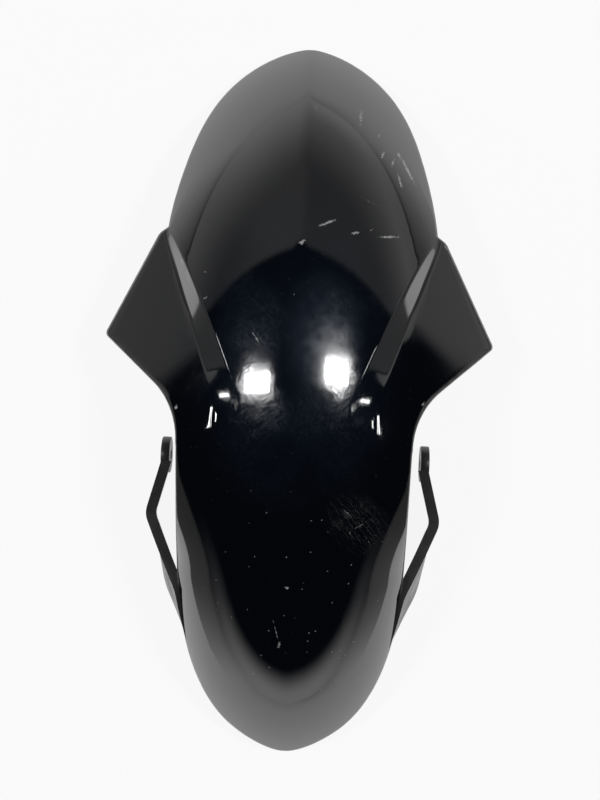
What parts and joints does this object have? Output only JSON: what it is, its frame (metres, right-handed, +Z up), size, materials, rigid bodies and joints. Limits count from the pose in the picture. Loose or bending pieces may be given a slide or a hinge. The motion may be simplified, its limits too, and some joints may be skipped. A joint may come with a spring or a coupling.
{
  "type": "motorcycle front mudguard",
  "caption": "Gloss black front mudguard for a sports motorcycle: a thin arched skin with creased side wings, stay arms to the fork legs and bolt holes.",
  "frame": {"origin": "bottom centre of the bounding box, on the floor under the middle of the arch", "axes": "+Y forward to the nose, +X to the right, +Z up"},
  "size_m": [0.2638, 0.491, 0.1201],
  "materials": {
    "mudguard": "gloss black, lightly scratched and scuffed"
  },
  "bodies": {
    "root": {"mudguard": "mudguard"}
  },
  "joints": []
}
